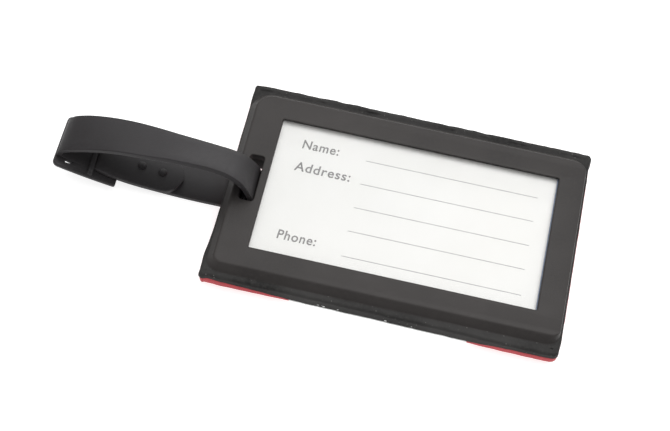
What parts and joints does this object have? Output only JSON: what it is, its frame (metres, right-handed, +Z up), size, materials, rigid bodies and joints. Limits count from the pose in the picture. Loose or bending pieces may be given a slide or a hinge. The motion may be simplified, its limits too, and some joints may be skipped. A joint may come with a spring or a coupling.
{
  "type": "luggage tag",
  "caption": "Flat soft-plastic luggage tag: windowed card frame on a black back plate over a three-band colour face, with a looped strap closed by a head and studs.",
  "frame": {"origin": "middle of the whole object's footprint, at the height of the strap's lowest point", "axes": "+X along the tag, away from its strap; +Y across the tag; +Z up out of the card window"},
  "size_m": [0.1544, 0.0684, 0.0189],
  "materials": {
    "red_plastic": "satin",
    "white_plastic": "satin",
    "black_plastic": "satin",
    "strap_plastic": "satin",
    "clear_film": "gloss",
    "card": "matte"
  },
  "bodies": {
    "tag": {"face_left_band": "red_plastic", "face_centre_band": "white_plastic", "face_right_band": "red_plastic", "back_plate": "black_plastic", "card_frame": "black_plastic", "window_film": "clear_film"},
    "strap": {"strap": "strap_plastic"},
    "card": {"address_card": "card"}
  },
  "joints": [
    {"name": "strap_swing", "type": "hinge", "parent": "tag", "child": "strap", "pos_m": [-0.02407, 0, 0.0061], "axis": [0, 1, 0], "range_deg": [-85, 10]},
    {"name": "card_slide", "type": "slide", "parent": "tag", "child": "card", "axis": [1, 0, 0], "range_m": [0, 0.085]}
  ]
}
